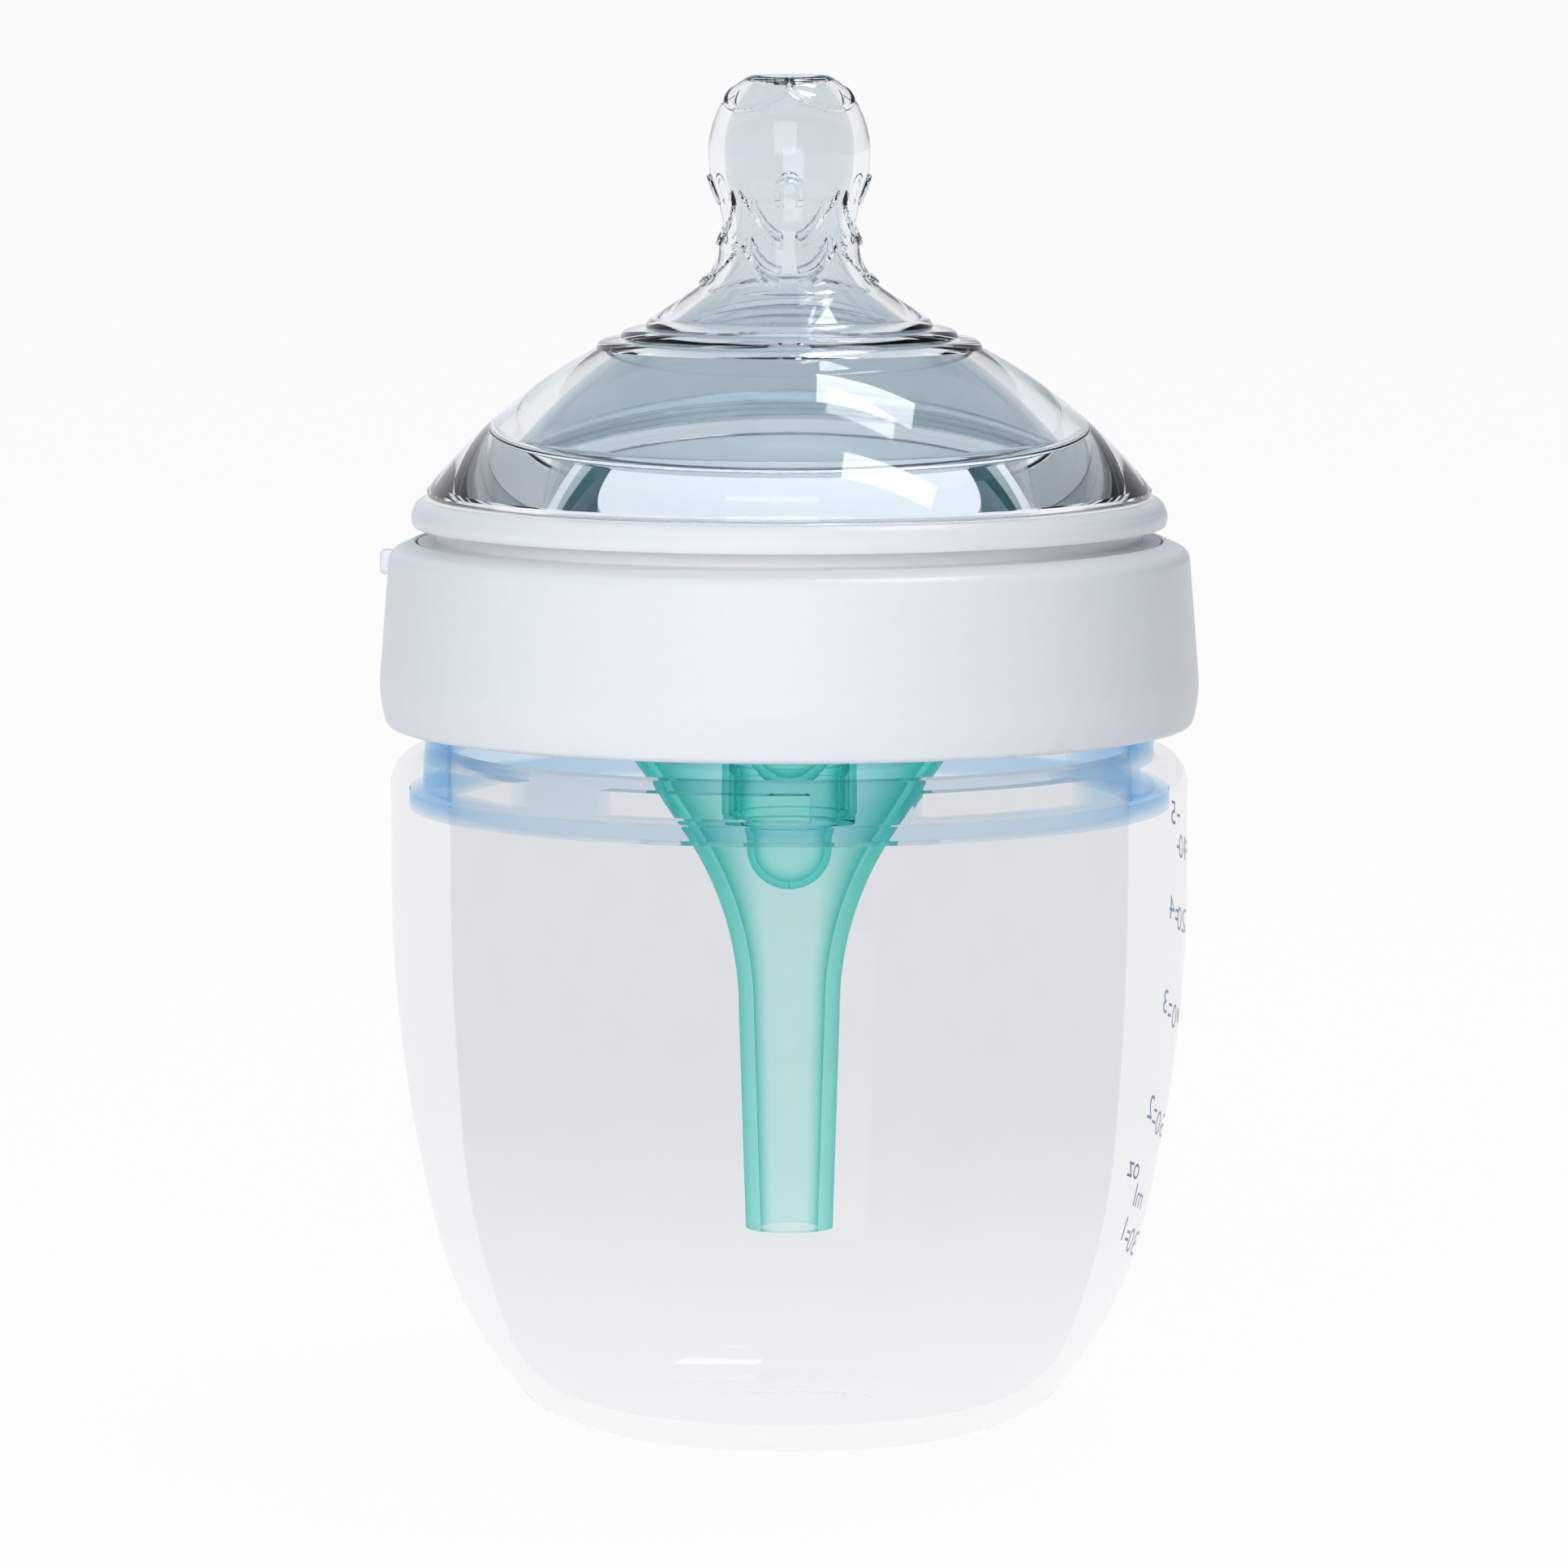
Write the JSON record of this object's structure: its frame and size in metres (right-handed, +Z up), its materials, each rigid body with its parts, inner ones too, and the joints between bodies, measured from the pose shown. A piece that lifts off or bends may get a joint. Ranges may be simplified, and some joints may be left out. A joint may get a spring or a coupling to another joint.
{
  "type": "baby bottle",
  "caption": "Wide-neck baby bottle: clear soft body, rigid threaded neck ring, white screw collar, clear soft teat and a teal inner air vent with funnel, tube and slit valve.",
  "frame": {"origin": "centre of the base, on the surface that the bottle stands on", "axes": "+Z up along the axis of the bottle, +X to the picture's right, the picture's camera towards -Y"},
  "size_m": [0.077, 0.077, 0.127],
  "materials": {
    "clear_silicone": "clear, glossy",
    "blue_plastic": "translucent blue",
    "white_plastic": "opaque white, satin gloss",
    "teat_silicone": "clear, glossy",
    "teal_plastic": "translucent teal",
    "teal_silicone": "translucent teal, satin",
    "seal_silicone": "translucent, matte"
  },
  "bodies": {
    "bottle": {"bottle_body": "clear_silicone", "neck_ring": "blue_plastic"},
    "head": {"teat_ring": "white_plastic", "teat": "teat_silicone", "vent_reservoir": "teal_plastic", "vent_plate": "white_plastic", "vent_sleeve": "teal_plastic", "vent_valve": "teal_silicone", "rim_seal": "seal_silicone"},
    "collar": {"collar": "white_plastic"}
  },
  "joints": [
    {"name": "head_lift", "type": "slide", "parent": "bottle", "child": "head", "axis": [0, 0, 1], "range_m": [0, 0.00625]},
    {"name": "collar_turn", "type": "hinge", "parent": "head", "child": "collar", "pos_m": [0, 0, 0.0747], "axis": [0, 0, 1], "range_deg": [0, 450]}
  ],
  "couplings": [
    {"joint": "head_lift", "follows": "collar_turn", "m_per_rad": 0.00079577}
  ]
}
